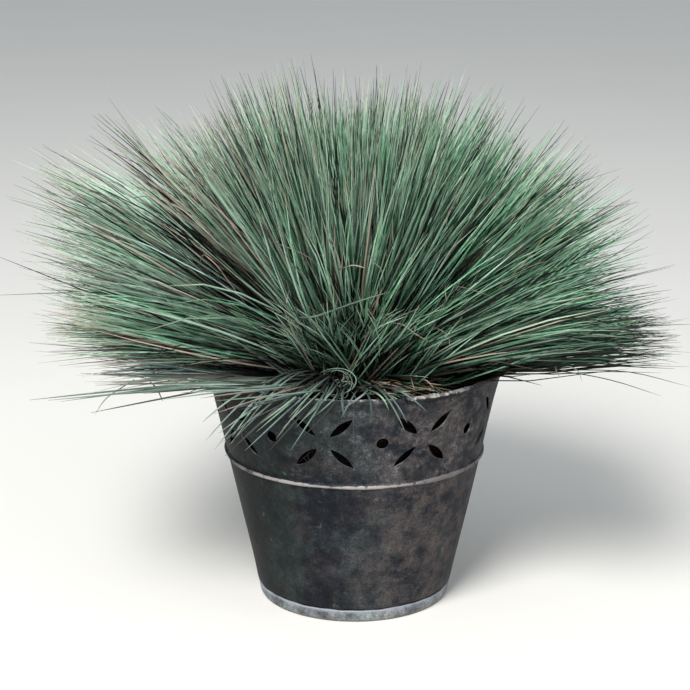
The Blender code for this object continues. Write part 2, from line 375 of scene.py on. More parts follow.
def dress_wall(where, colour, weather):
    """The wall has painted shade at its sides and under the leaves. It is worn bright on its bead
    and its rolled rim, with painted highlights and shadow there at the front.
    """
    x, y, z = apart(where)
    azimuth = maths("DEGREES", maths("ARCTAN2", x, y * -1.0))
    patchy = noise(where, 380.0, 4.0, 0.65)

    # Painted shade: darker round the left side and a little at the right, and a painted shadow of
    # the overhanging leaves below the rim at the left.
    left = between(patchy * 0.010 + x, -0.056, 0.033)
    right = 1.0 - between(x, 0.042, 0.072)
    leaf_shadow = between(patchy * 0.010 + z, 0.094, 0.118) * (1.0 - between(x, -0.046, 0.004))
    shade = (left * 0.72 + 0.15) * (right * 0.25 + 0.75) * (1.0 - leaf_shadow * 0.55)
    colour = scaled(colour, shade)

    # Scuffed most above the bead, with pale green specks and the seam of the sheet.
    (between(z, 0.064, 0.078) * 0.62 + 0.18).to(weather.inputs["Scuffing"])
    specks = between(noise(where, 170.0, 3.0), 0.66, 0.74)
    seam = 1.0 - between(maths("ABSOLUTE", azimuth + 0.3), 0.12, 0.30)
    seam = seam * (between(z, 0.080, 0.112) * 0.40) * patchy
    colour = layered(colour, (specks * 0.5, (0.085, 0.135, 0.080)), (seam, (0.150, 0.150, 0.150)))

    # Worn bright on the crest of the bead, with rust in places, and a painted highlight on it
    # towards the front, so it is dull at both sides.
    proud = length_of(x, y) - (z * TAPER + WALL_FOOT_RADIUS)
    crest = between(patchy * 0.0008 + proud, 0.00112, 0.00150)
    crest = crest * maths("LESS_THAN", z, BEAD_HEIGHT + 0.004)
    rusty = between(noise(where, 150.0, 4.0, 0.65), 0.54, 0.64)
    # Painted highlight: the crest is brighter towards the front.
    front = 1.0 - between(patchy * 20.0 + maths("ABSOLUTE", azimuth + 12.0), 34.0, 62.0)
    worn = crest * (1.0 - rusty * 0.80) * (front * 0.66 + 0.34)
    colour = tinted(worn, colour, (0.345, 0.318, 0.318))

    # The roll is worn on top, with a painted highlight there at the front, thinly left of the notch
    # and in lumps right of it.
    thin = between(patchy * 0.0011 + z, RIM_TOP - 0.00030, RIM_TOP + 0.00030)
    lumps = between(patchy * 0.0022 + z, RIM_TOP - 0.00060, RIM_TOP + 0.00010)
    past_notch = between(azimuth, 17.5, 19.0)
    painted_light_arc = between(azimuth, -60.0, -10.0) * (1.0 - between(azimuth, 34.0, 52.0))
    top = (past_notch * (lumps - thin) + thin) * (painted_light_arc * 0.85 + 0.05)
    top = top * (between(patchy, 0.44, 0.56) * 0.7 + 0.3)
    # Painted shadow under the roll at the front, right of the notch.
    under = between(z, RIM_TOP - 0.0050, RIM_TOP - 0.0030) * painted_light_arc * past_notch
    under = under * maths("GREATER_THAN", proud, -0.0006)
    return layered(colour, (under * 0.75, (0.008, 0.007, 0.008)), (top, (0.400, 0.380, 0.365)))


def wall_profile():
    shoulder, foot = FOOT_BAND + GAP + CRIMP_DEPTH, BASE_SHEET + GAP
    roll_height = RIM_TOP - ROLL_RADIUS
    crimped = [(wall_radius(height) - CRIMP_DEPTH, height) for height in (foot, FOOT_BAND)]
    lower = np.linspace(shoulder, BEAD_HEIGHT - BEAD_HALF_WIDTH, 22)
    upper = np.linspace(BEAD_HEIGHT + BEAD_HALF_WIDTH, roll_height, 20)
    profile = crimped + [(wall_radius(height), height) for height in lower]
    for step in range(1, 8):
        along = -1.0 + 2.0 * step / 8
        height = BEAD_HEIGHT + along * BEAD_HALF_WIDTH
        proud = BEAD_DEPTH * math.cos(along * math.pi / 2) ** 0.8
        profile.append((wall_radius(height) + proud, height))
    profile += [(wall_radius(height), height) for height in upper]
    inner = np.linspace(roll_height, shoulder, 40)
    profile += [(wall_radius(height) - SHEET, height) for height in inner]
    return profile + [(radius - SHEET, height) for radius, height in crimped[::-1]]


def dented(radius, height, turn):
    """Slight dents, which fade out towards the foot and the rim."""
    room = np.clip(np.minimum(height - 0.008, 0.113 - height) / 0.012, 0.0, 1.0)
    return radius + 0.00028 * room * ripple(turn, height, 8, (2, 3, 5, 7, 11), 60.0), height


def petal_outline(half_width):
    half_length = (PETAL_OUTER - PETAL_INNER) / 2
    arc = (half_length**2 + half_width**2) / (2 * half_width)
    along = half_length * np.cos(np.linspace(0.0, math.pi, 15))
    upper = [(x, math.sqrt(arc**2 - x**2) - arc + half_width) for x in along]
    return upper + [(x, -y) for x, y in reversed(upper[1:-1])]


def add_punch(bm, outline, azimuth, height, turn):
    """Adds a punch with this outline, square to the wall."""
    slope = math.atan2(WALL_TOP_RADIUS - WALL_FOOT_RADIUS, RIM_TOP)
    across = np.array([math.cos(azimuth), math.sin(azimuth), 0.0])
    outwards = np.array([math.sin(azimuth), -math.cos(azimuth), 0.0])
    upwards = outwards * math.sin(slope) + np.array([0.0, 0.0, math.cos(slope)])
    normal = np.cross(across, upwards)
    centre = outwards * (wall_radius(height) - SHEET / 2) + np.array([0.0, 0.0, height])
    rings = []
    for depth in (-PUNCH_REACH, PUNCH_REACH):
        ring = []
        for x, y in outline:
            u = x * math.cos(turn) - y * math.sin(turn)
            v = x * math.sin(turn) + y * math.cos(turn)
            ring.append(bm.verts.new(centre + across * u + upwards * v + normal * depth))
        rings.append(ring)
    inner, outer = rings
    bm.faces.new(inner[::-1])
    bm.faces.new(outer)
    for index in range(len(inner)):
        after = (index + 1) % len(inner)
        bm.faces.new((inner[index], inner[after], outer[after], outer[index]))


def make_punches(edge):
    """All punches as one cutter. Petals were struck by hand and differ a little in width."""
    rng = np.random.default_rng(12)
    bm = bmesh.new()
    middle = (PETAL_INNER + PETAL_OUTER) / 2
    for flower in FLOWER_AZIMUTHS:
        for turn in (PETAL_ANGLE, math.pi - PETAL_ANGLE, math.pi + PETAL_ANGLE, -PETAL_ANGLE):
            height = BAND_HEIGHT + middle * math.sin(turn)
            azimuth = math.radians(flower) + middle * math.cos(turn) / wall_radius(BAND_HEIGHT)
            outline = petal_outline(PETAL_HALF_WIDTH * rng.uniform(0.92, 1.08))
            add_punch(bm, outline, azimuth, height, turn)
    circle = np.linspace(0.0, math.tau, 28, endpoint=False)
    dot = [(DOT_RADIUS * math.cos(turn), DOT_RADIUS * math.sin(turn)) for turn in circle]
    for azimuth in DOT_AZIMUTHS:
        add_punch(bm, dot, math.radians(azimuth), BAND_HEIGHT, 0.0)
    bmesh.ops.recalc_face_normals(bm, faces=bm.faces)
    for face in bm.faces:
        face.material_index = 1
    return finished("punches", bm, edge, edge)


SKIN_INPUTS = {"Thickness": 1.0, "Sides": 3, "Smooth": True, "Material": "Material"}
MESH_OUT = {"Mesh": "Geometry"}


def attribute(tree, name, kind="FLOAT"):
    feeds = {"Name": name}
    return wire(tree, "GeometryNodeInputNamedAttribute", feeds, "Attribute", data_type=kind)


def make_sweep_group():
    """Sweeps a round section along curves. It is Thickness times the points' girth attribute."""
    inputs = {"Curves": "Geometry", **SKIN_INPUTS}
    tree, given, out = new_group("swept_skin", "GeometryNodeTree", inputs, MESH_OUT)
    feeds = {"Resolution": given("Sides"), "Radius": 1.0}
    section = wire(tree, "GeometryNodeCurvePrimitiveCircle", feeds)
    scale = given("Thickness") * attribute(tree, "girth")
    feeds = {"Curve": given("Curves"), "Profile Curve": section, "Scale": scale, "Fill Caps": True}
    swept = wire(tree, "GeometryNodeCurveToMesh", feeds)
    smooth = wire(tree, "GeometryNodeSetShadeSmooth", {0: swept, "Shade Smooth": given("Smooth")})
    whole = wire(tree, "GeometryNodeRealizeInstances", {0: smooth})
    wire(tree, "GeometryNodeSetMaterial", {0: whole, "Material": given("Material")}).to(out["Mesh"])
    return tree


swept_skin = make_sweep_group()


def end_in_sweep(tree, given, out, curves):
    """Ends a tree in the swept_skin group, which takes these curves and the tree's own inputs."""
    skin = tree.nodes.new("GeometryNodeGroup")
    skin.node_tree = swept_skin
    curves.to(skin.inputs["Curves"])
    for title in SKIN_INPUTS:
        given(title).to(skin.inputs[title])
    Wire(skin.outputs[0]).to(out["Mesh"])
    return tree


def make_lines_tree():
    """Turns the edges of a mesh into swept lines."""
    inputs = {"Lines": "Geometry", **SKIN_INPUTS}
    tree, given, out = new_group("swept_lines", "GeometryNodeTree", inputs, MESH_OUT)
    curves = wire(tree, "GeometryNodeMeshToCurve", {0: given("Lines")})
    return end_in_sweep(tree, given, out, curves)


swept_lines = make_lines_tree()


def start_mesh(name, points, lines=0, **values):
    """A mesh of points, joined into this many equal lines, with a point attribute per value."""
    points = np.asarray(points, float).reshape(-1, 3)
    edges = []
    if lines:
        index = np.arange(len(points)).reshape(lines, -1)
        edges = np.stack([index[:, :-1], index[:, 1:]], axis=-1).reshape(-1, 2).tolist()
    mesh = bpy.data.meshes.new(name)
    mesh.from_pydata(points.tolist(), edges, [])
    for title, value in values.items():
        value = np.asarray(value)
        kind = "FLOAT_VECTOR" if value.ndim > 1 else "INT" if value.dtype.kind == "i" else "FLOAT"
        made = mesh.attributes.new(title, kind, "POINT").data
        value = value.astype(np.int32 if kind == "INT" else np.float32).ravel()
        made.foreach_set("vector" if kind == "FLOAT_VECTOR" else "value", value)
    return mesh


def grown(name, start, tree, **inputs):
    """The plain mesh object that a node tree makes from a starting mesh."""
    piece = bpy.data.objects.new(name, start)
    bpy.context.scene.collection.objects.link(piece)
    modifier = piece.modifiers.new(tree.name, "NODES")
    modifier.node_group = tree
    for title, value in inputs.items():
        modifier[tree.interface.items_tree[title.replace("_", " ")].identifier] = value
    whole = piece.evaluated_get(bpy.context.evaluated_depsgraph_get())
    mesh = bpy.data.meshes.new_from_object(whole)
    piece.modifiers.remove(modifier)
    piece.data = mesh
    mesh.name = name
    return piece


def roll_path():
    """The rolled rim's centre line and thickness. Its ends meet at a notch, where it is lumpy."""
    gap = math.radians(0.55)
    turn = np.linspace(NOTCH + gap, NOTCH + math.tau - gap, 900)
    lumps = ripple(turn, 0.0, 3, (197, 211, 229, 243))
    swell = ripple(turn, 0.0, 4, (17, 29, 46))
    nearby = np.exp(-((turn - NOTCH) / math.radians(26.0)) ** 2)
    before = np.exp(-((turn - NOTCH - math.tau) / math.radians(13.0)) ** 2)
    girth = 1.0 + 0.035 * swell + (0.03 + 0.10 * nearby) * lumps + 0.10 * nearby - 0.16 * before
    height = RIM_TOP - ROLL_RADIUS - 0.00015 + 0.00012 * swell
    radius = ROLL_CENTRE_RADIUS - 0.00015 + 0.0001 * ripple(turn, 0.0, 9, (3, 5, 8))
    points = np.stack([radius * np.sin(turn), -radius * np.cos(turn), height], axis=-1)
    return start_mesh("roll_path", points, 1, girth=girth * (ROLL_RADIUS - 0.0001))


def make_wall():
    zinc = new_zinc("dark_zinc_wall", 0.45, {}, dress_wall)
    edge = new_zinc("cut_zinc_edge", 0.5, EDGE_ZINC, lambda where, colour, weather: colour)
    bm = turned(wall_profile(), 240, dented, closed=True)
    wall = finished("punched_wall", bm, zinc, edge)
    cutter = make_punches(edge)
    cut = wall.modifiers.new("punched_band", "BOOLEAN")
    cut.operation, cut.solver, cut.object = "DIFFERENCE", "EXACT", cutter
    whole = wall.evaluated_get(bpy.context.evaluated_depsgraph_get())
    bm = bmesh.new()
    bm.from_mesh(bpy.data.meshes.new_from_object(whole))
    for used in (wall, cutter):
        bpy.data.objects.remove(used, do_unlink=True)
    roll = grown("roll", roll_path(), swept_lines, Sides=12, Material=zinc)
    bm.from_mesh(roll.data)
    bpy.data.objects.remove(roll, do_unlink=True)
    wall = finished("punched_wall", bm, zinc, edge)
    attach(wall, "root")
    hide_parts("pot_wall")


make_wall()

# ---------------------------------------------------------------------------------------
# Compost. The root ball of peat, bark crumbs and fine roots that fills the pot to just under
# the rim. It shows as darkness behind the punched holes, and round the crown from above.

SOIL_TOP = 0.1050
SOIL_TOP_RADIUS = 0.0668
SOIL_FOOT_RADIUS = 0.0440
SOIL_SHOULDER = 0.0035


def make_compost_material():
    material, tree, shader = new_material("peat_compost", 0.95, specular=0.05)
    where = surface(tree)
    crumbs = noise(where, 520.0, 5.0, 0.7)
    lumps = noise(where, 120.0, 3.0)
    # The peat is dark, and its colour is taken down to near black as painted shade behind the
    # punched holes.
    colour = tinted(between(lumps, 0.35, 0.65), (0.002, 0.0015, 0.0015), (0.008, 0.006, 0.005))
    colour = tinted(between(crumbs, 0.68, 0.78), colour, (0.075, 0.048, 0.030))
    return painted(material, shader, colour, crumbs, 0.0015)


def make_compost():
    def crumbled(radius, height, turn):
        rough = ripple(turn, height, 21, (13, 19, 31, 47, 71), 900.0)
        lift = 0.0005 * rough * radius / SOIL_TOP_RADIUS * (height > SOIL_TOP - 0.004)
        lift = lift - 0.0006 * (height > SOIL_TOP - 0.001)
        return radius * (0.988 + 0.008 * rough), height + lift

    foot = BASE_SHEET + 2 * GAP
    radii = np.linspace(SOIL_FOOT_RADIUS, SOIL_TOP_RADIUS, 34)
    profile = [(0.0, foot), *zip(radii, np.linspace(foot, SOIL_TOP - SOIL_SHOULDER, 34))]
    profile.append((SOIL_TOP_RADIUS - 0.0012, SOIL_TOP - 0.0010))
    top = np.linspace(SOIL_TOP_RADIUS - SOIL_SHOULDER, 0.0, 16)
    profile += [(radius, SOIL_TOP) for radius in top]
    compost = finished("compost", turned(profile, 160, crumbled), make_compost_material())
    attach(compost, "root")
    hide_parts("root_ball")


make_compost()

# ---------------------------------------------------------------------------------------
# Crown. The low mound where all the shoots stand packed together: their purple-brown sheaths
# over a dark middle. Every blade of the clump grows out of it.

PLANT_CENTRE = 0.1000
CROWN_RADIUS = 0.0230
MOUND_SINK = 0.0012
SHEATH_FOOT = 0.0165
CENTRE = np.array([0.0, 0.0, PLANT_CENTRE])

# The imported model's tufts sink by these, and the blades with them.
SAG = 1.6
FAR_SAG = 1.5
FAR_SAG_START = 0.085
LIE_ABOVE_RIM = 0.0010

SHOOT_INPUTS = {
    "Shoots": "Geometry", "Points": 6, "Fan": 0.06, "Bow": 0.03, "Root Spread": 0.0016,
    "Shortest": 0.50, "Taper": 5.0, "Sag": SAG, "Far Sag": FAR_SAG, "Rest Slope": 0.25,
    "Far Sag Start": FAR_SAG_START, "Twist": 2.0, "Hue Spread": (0.50, 0.52, 0.68), "Seed": 0,
    "Thickness": 0.00046, "Sides": 3, "Smooth": False, "Material": "Material",
}


def random_number(seed, low, high):
    feeds = {2: low, 3: high, "Seed": seed}
    return wire(seed.tree, "FunctionNodeRandomValue", feeds, 1, data_type="FLOAT")


def random_vector(seed):
    feeds = {0: (-1.0,) * 3, 1: (1.0,) * 3, "Seed": seed}
    return wire(seed.tree, "FunctionNodeRandomValue", feeds, data_type="FLOAT_VECTOR")


def keep(geometry, name, value, kind="FLOAT"):
    """Stores a value on the points of a geometry."""
    feeds = {"Geometry": geometry, "Name": name, "Value": value}
    options = {"data_type": kind, "domain": "POINT"}
    return wire(value.tree, "GeometryNodeStoreNamedAttribute", feeds, **options)


def make_shoot_tree():
    """Grows blades from shoot points. A point's root, lean and bend say how its shoot runs, span
    how long it is, and blades how many it has. The blades fan out, sag, and rest on the rim."""
    tree, given, out = new_group("fescue_shoots", "GeometryNodeTree", SHOOT_INPUTS, MESH_OUT)
    lean, bend, root, hue = (
        attribute(tree, name, "FLOAT_VECTOR") for name in ("lean", "bend", "root", "hue")
    )
    span, weight, roll, stout, along = (
        attribute(tree, name) for name in ("span", "weight", "roll", "stout", "along")
    )
    seeds = [given("Seed") + float(step) for step in range(8)]

    # Each shoot becomes its number of blades, and each of those is changed a little at random.
    feeds = {"Geometry": given("Shoots"), "Amount": attribute(tree, "blades", "INT")}
    points = wire(tree, "GeometryNodeDuplicateElements", feeds, "Geometry", domain="POINT")
    fanned = vectors("ADD", lean, scaled(random_vector(seeds[0]), given("Fan")))
    change = vectors("MULTIPLY", random_vector(seeds[7]), given("Hue Spread"))
    changed = {
        "lean": vectors("NORMALIZE", fanned),
        "bend": vectors("ADD", bend, scaled(random_vector(seeds[1]), given("Bow"))),
        "root": vectors("ADD", root, scaled(random_vector(seeds[2]), given("Root Spread"))),
        "hue": vectors("ADD", hue, change),
    }
    for name, value in changed.items():
        points = keep(points, name, value, "FLOAT_VECTOR")
    loss = random_number(seeds[3], 0.0, 1.0) ** 2.0 * (1.0 - given("Shortest"))
    changed = {
        "span": span * (1.0 - loss),
        "weight": weight * random_number(seeds[4], 0.9, 1.1),
        "stout": random_number(seeds[5], 0.70, 1.20),
        "roll": random_number(seeds[6], 0.0, 2.1),
    }
    for name, value in changed.items():
        points = keep(points, name, value)
    line = wire(tree, "GeometryNodeCurvePrimitiveLine")
    line = wire(tree, "GeometryNodeResampleCurve", {"Curve": line, "Count": given("Points")})
    line = keep(line, "along", wire(tree, "GeometryNodeSplineParameter", output="Factor"))
    copies = wire(tree, "GeometryNodeInstanceOnPoints", {"Points": points, "Instance": line})
    curves = wire(tree, "GeometryNodeRealizeInstances", {0: copies})

    # A blade runs out along its lean and bend, sinks by its weight, and stops at the rim.
    step = along * span
    away = vectors("ADD", scaled(lean, step), scaled(bend, step * along))
    x, y, z = apart(vectors("ADD", root, away))
    reach = length_of(x, y)
    past = maths("MAXIMUM", 0.0, reach - given("Far Sag Start"))
    sunk = z - (given("Far Sag") * past**2.0 + given("Sag") * reach**2.0) * weight
    off_rim = maths("ABSOLUTE", reach - ROLL_CENTRE_RADIUS)
    rest = RIM_TOP + LIE_ABOVE_RIM - off_rim * given("Rest Slope")
    z = maths("MAXIMUM", sunk, maths("MINIMUM", rest, z))
    where = wire(tree, "ShaderNodeCombineXYZ", {0: x, 1: y, 2: z})
    curves = wire(tree, "GeometryNodeSetPosition", {"Geometry": curves, "Position": where})
    tilt = along * given("Twist") + roll
    curves = wire(tree, "GeometryNodeSetCurveTilt", {0: curves, "Tilt": tilt})
    girth = (1.0 - along ** given("Taper") * 0.88) * stout
    return end_in_sweep(tree, given, out, keep(curves, "girth", girth))


fescue_shoots = make_shoot_tree()


def heading(azimuth, elevation):
    """Unit vectors for azimuths and elevations in radians."""
    flat = np.cos(elevation)
    ways = [flat * np.sin(azimuth), -flat * np.cos(azimuth), np.sin(elevation)]
    return np.stack(ways, axis=-1)


def unit(vector):
    return vector / np.linalg.norm(vector, axis=-1, keepdims=True)


def make_mound_material():
    material, tree, shader = new_material("dark_crown", 0.9, specular=0.05)
    fibres = noise(surface(tree), 380.0, 5.0, 0.7)
    colour = tinted(between(fibres, 0.35, 0.7), (0.006, 0.004, 0.005), (0.032, 0.018, 0.018))
    return painted(material, shader, colour, fibres, 0.002)


def blade_values(tree):
    """How far along its blade a point is, and the three numbers of the blade's hue."""
    along = wire(tree, "ShaderNodeAttribute", output="Fac", attribute_name="along")
    hue = wire(tree, "ShaderNodeAttribute", output="Vector", attribute_name="hue")
    return along, *apart(hue)


def make_sheath_material():
    material, tree, shader = new_material("sheaths", 0.7)
    along, tone, _, _ = blade_values(tree)
    flecks = noise(surface(tree), 900.0, 3.0)
    colour = tinted(between(tone, 0.1, 0.9), (0.040, 0.020, 0.022), (0.145, 0.085, 0.068))
    colour = tinted(between(along, 0.1, 1.0), (0.012, 0.007, 0.009), colour)
    colour = tinted(between(flecks, 0.45, 0.7), colour, (0.20, 0.13, 0.10))
    return painted(material, shader, colour, flecks, 0.0004)


def spread_over_dome(count, jitter, seed):
    """Directions spread evenly over the upper half dome, each moved a little at random."""
    rng = np.random.default_rng(seed)
    index = np.arange(count) + 0.5
    ways = heading(index * math.pi * (3.0 - math.sqrt(5.0)), np.arcsin(1.0 - index / count))
    spacing = math.sqrt(math.tau / count)
    return unit(ways + rng.normal(0.0, jitter * spacing, (count, 3)))


def make_crown():
    def lumpy(radius, height, turn):
        rough = ripple(turn, height, 31, (5, 9, 14, 23, 37), 700.0)
        return radius * (0.90 + 0.035 * rough), height - MOUND_SINK

    foot = SOIL_TOP + GAP + MOUND_SINK
    start = math.asin((foot - PLANT_CENTRE) / CROWN_RADIUS)
    angles = np.linspace(start, math.pi / 2, 24)
    profile = [(0.0, foot), (0.012, foot)]
    profile += zip(CROWN_RADIUS * np.cos(angles), PLANT_CENTRE + CROWN_RADIUS * np.sin(angles))
    mound = finished("crown_mound", turned(profile, 96, lumpy), make_mound_material())
    ways = spread_over_dome(420, 0.3, 41)
    ways = ways[ways[:, 2] > 0.22]
    rng = np.random.default_rng(42)
    count = len(ways)
    root = CENTRE + ways * SHEATH_FOOT
    plan = start_mesh(
        "sheath_plan", root, root=root, lean=ways + rng.normal(0.0, 0.12, (count, 3)),
        bend=np.zeros((count, 3)), span=rng.uniform(0.010, 0.021, count),
        blades=np.full(count, 2), weight=np.ones(count), hue=rng.uniform(0.0, 1.0, (count, 3)),
    )
    sheaths = grown(
        "crown_sheaths", plan, fescue_shoots, Points=5, Fan=0.16, Bow=0.12, Sag=0.0, Far_Sag=0.0,
        Rest_Slope=5.0, Taper=3.0, Thickness=0.0008, Sides=5, Smooth=True, Seed=43,
        Material=make_sheath_material(),
    )
    for piece in (mound, sheaths):
        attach(piece, "root")
        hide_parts("crown")


make_crown()

# ---------------------------------------------------------------------------------------
# Grass. The blades stand in shoots of eight or so, the shoots in locks, and the locks fill the
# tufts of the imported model. Blades are rolled as fine as needles, with a grey waxy bloom.

RINGS = (
    # name, elevation, reach, first and last azimuth, count
    ("low", 30.5, 0.190, 60.0, 300.0, 14),
    ("middle", 45.5, 0.204, 49.0, 311.0, 13),
    ("high", 60.5, 0.179, 18.0, 342.0, 10),
    ("upper", 75.0, 0.164, 36.0, 324.0, 5),
    ("top", 90.0, 0.158, 0.0, 0.0, 1),
)
TUFT_JITTER = math.radians(0.9)
LEFT_STRETCH = 0.04
TUFT_EDGE_BLUR = 0.13
LOCKS = 600
LOCK_SPREAD = 0.038
SHORT_SHOOTS = 1600
FRONT_SHOOTS = 1050
DEAD_SHOOTS = 800
SKIRT_SHOOTS = 420
OCHRE_SHOOTS = 200
LEFT_SHOOTS = 260
TANGLE_SHOOTS = 130
GAP_ANGLE = 132.0
GAP_PITCH = 0.258
GAP_CLEARING = 3.2
DEAD = 1.2
LOWEST = math.radians(23.5)
FRONT_REACH = 0.106
BACK_REACH = 0.162
TOP_REACH = 0.162
OUTLINE = (
    # direction seen from the front, in degrees from the right, and share of the reach there
    (20, 0.93), (26, 0.97), (30, 1.01), (37, 1.03), (42, 0.98), (46, 1.01), (50, 0.97),
    (54, 0.99), (58, 0.96), (64, 1.04), (75, 1.05), (86, 1.02), (92, 0.97), (98, 1.00),
    (104, 1.14), (110, 1.06), (116, 0.95), (121, 0.99), (126, 1.13), (131, 1.17), (135, 1.15),
    (139, 1.06), (143, 0.98), (147, 0.92), (151, 0.90), (160, 0.90),
)


def make_blade_material():
    material, tree, shader = new_material("fescue_blade", 0.5, specular=0.28)
    where = surface(tree)
    along, green, dry, light = blade_values(tree)
    bloom = noise(where, 180.0, 3.0)
    flecks = noise(where, 1500.0, 2.0)
    live = tinted(between(green, -0.6, 0.0), (0.160, 0.240, 0.245), (0.200, 0.285, 0.220))
    live = tinted(between(green, 0.0, 1.0), live, (0.072, 0.205, 0.112))
    live = tinted(between(bloom, 0.45, 0.75), live, (0.225, 0.345, 0.275))
    tip = between(along, 0.80, 0.97) * between(light, 0.1, 0.7)
    tip = tip * (1.0 - maths("MULTIPLY", green, 0.7, use_clamp=True))
    live = tinted(maths("MULTIPLY", tip, 0.75, use_clamp=True), live, (0.245, 0.215, 0.170))
    pale = tinted(between(green, 0.9, 1.5), (0.225, 0.182, 0.148), (0.215, 0.152, 0.058))
    dead = tinted(between(light, 0.0, 0.70), (0.060, 0.036, 0.034), pale)
    colour = tinted(between(dry, 0.60, 0.70), live, dead)
    stem = between(along, 0.06, 0.42) * -0.35 + 0.35
    shoot = maths("MAXIMUM", 1.0 - between(along, 0.0, 0.10), stem)
    colour = tinted(shoot, colour, (0.110, 0.070, 0.068))
    # The light value sets the brightness: partly tone that differs from blade to blade, and partly
    # painted light and shade given per shoot.
    bright = maths("MINIMUM", maths("MAXIMUM", light, 0.0), 0.82) ** 1.30
    bright = bright * (flecks * 1.8 + 1.45) + 0.02
    # Painted shade: darker towards the foot of each blade, deep in the clump.
    bright = bright * (between(along, 0.04, 0.50) * 0.74 + 0.26)
    ramp(bloom, 0.0, 1.0, 0.38, 0.66).to(shader.inputs["Roughness"])
    return painted(material, shader, scaled(colour, bright), flecks, 0.0002, 0.5)


fescue_blade = make_blade_material()


def tuft_layout():
    """Names, axes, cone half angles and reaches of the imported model's tufts."""
    rng = random.Random(4)
    names, axes, reaches = [], [], []
    for name, elevation, reach, first, last, count in RINGS:
        for index in range(count):
            azimuth = math.radians(first + (last - first) * index / max(1, count - 1))
            tilt = math.radians(elevation)
            if count > 1:
                azimuth += rng.uniform(-TUFT_JITTER, TUFT_JITTER) / math.cos(tilt)
                tilt += rng.uniform(-TUFT_JITTER, TUFT_JITTER)
            names.append(f"{name}_{index + 1:02d}")
            axes.append(heading(azimuth, tilt))
            reaches.append(reach * (1.0 - LEFT_STRETCH * math.sin(azimuth) * math.cos(tilt)))
    axes = np.array(axes)
    angles = np.arccos(np.clip(axes @ axes.T, -1.0, 1.0)) + np.eye(len(axes)) * math.pi
    return names, axes, angles.min(1) / 2, np.array(reaches)


TUFT_NAMES, TUFT_AXES, TUFT_ANGLES, TUFT_REACHES = tuft_layout()


def nearest_tuft(ways):
    return (ways @ TUFT_AXES.T).argmax(1)


def held_by_tufts(ways, margin):
    """The directions inside the tufts' cones, their tufts, and the reach there."""
    angles = np.arccos(np.clip(ways @ TUFT_AXES.T, -1.0, 1.0))
    tuft = angles.argmin(1)
    near = np.exp(-((angles / TUFT_EDGE_BLUR) ** 2))
    reach = (near @ TUFT_REACHES) / near.sum(1)
    inside = angles.min(1) < TUFT_ANGLES[tuft] * margin
    return ways[inside], tuft[inside], reach[inside]


def lifted(ways, rng):
    """Lifts directions that are too low, more so towards the open front."""
    turned_away = np.degrees(np.arctan2(np.abs(ways[:, 0]), -ways[:, 1]))
    lift = np.radians(0.24 * np.maximum(0.0, 90.0 - turned_away) + rng.uniform(0.0, 3.0, len(ways)))
    lowest = np.sin(LOWEST + lift)
    flat = np.hypot(ways[:, 0], ways[:, 1])
    low = ways[:, 2] < lowest * np.hypot(flat, ways[:, 2])
    ways[low, 2] = flat[low] * (lowest / np.sqrt(1.0 - lowest**2))[low]
    return unit(ways)


def kept_in(ways, long):
    """Lengths cut back to how far the clump reaches forwards, backwards and upwards."""
    reach = np.where(ways[:, 1] < 0.0, FRONT_REACH, BACK_REACH)
    reach = reach / np.maximum(np.abs(ways[:, 1]), 0.01)
    return np.minimum(long, np.minimum(reach, TOP_REACH / ways[:, 2]))


def rooted(rng, ways, jitter, nearest, furthest):
    """Places on the crown about these directions. The hollow low at its front is left free."""
    ways = ways + rng.normal(0.0, jitter, ways.shape)
    radius = rng.uniform(nearest, furthest, (len(ways), 1))
    low = (ways[:, 1] < -0.28) & (np.abs(ways[:, 0] + 0.12) < 0.62)
    ways[low, 2] = np.maximum(ways[low, 2], 1.3 * np.hypot(ways[low, 0], ways[low, 1]))
    return CENTRE + unit(ways) * radius


def shoot_plan(rng, ways, root, long, weight, slack, **values):
    """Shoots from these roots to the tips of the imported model's tufts. One that weighs less sags
    less and so runs straighter, and slack turns its start away from its tip."""
    tips = CENTRE + ways * long[:, None]
    reach = np.hypot(tips[:, 0], tips[:, 1])
    sag = SAG * reach**2 + FAR_SAG * np.maximum(0.0, reach - FAR_SAG_START) ** 2
    tips[:, 2] -= sag * (1.0 - weight)
    start = unit(unit(tips - root) + rng.normal(0.0, slack, ways.shape))
    span = np.linalg.norm(tips - root, axis=1)
    bend = (tips - root) / span[:, None] - start
    return {"root": root, "lean": start, "bend": bend, "span": span, "weight": weight, **values}


def sheltered(ways):
    """How far directions lie in the low part at the right, which gets painted shade, and in that
    at the left, which is drier and gets painted light."""
    low = np.clip((0.66 - ways[:, 2]) / 0.22, 0.0, 1.0)
    return low * np.clip(ways[:, 0] + 0.4, 0.0, 1.0), low * np.clip(-ways[:, 0], 0.0, 1.0)


def in_gap(ways, half_width, aside=0.0):
    """Whether a direction lies within this many degrees of the parting in the clump's front."""
    height = ways[:, 2] * math.cos(GAP_PITCH) + ways[:, 1] * math.sin(GAP_PITCH)
    across = np.degrees(np.arctan2(height, ways[:, 0])) - GAP_ANGLE - aside
    return (ways[:, 1] < 0.25) & (np.abs(across) < half_width)


def turn_gap_dark(rng, ways, hue, long):
    """The front of the clump has parted along one line at the upper left. The leaves there are
    dead: in the gap they are painted near black as the shade of the parting, and along its upper
    side they are pinkish brown."""
    gap = in_gap(ways, 1.6)
    edge = in_gap(ways, 2.4, -4.5) & (rng.random(len(ways)) < 0.55)
    patch = in_gap(ways, 2.6, 17.0) & (rng.random(len(ways)) < 0.40)
    # Painted shade: the leaves in the gap are given no light, and so are near black.
    hue[gap, 1:] = (DEAD, -0.40)
    hue[edge | patch, 1:] = (0.9, 0.40)
    long[gap] *= 0.72


def hues(rng, *parts):
    """Green, dry and light of each shoot, given as a middle value and its random spread."""
    count = len(parts[0][0])
    return np.stack([middle + rng.normal(0.0, swing, count) for middle, swing in parts], axis=-1)


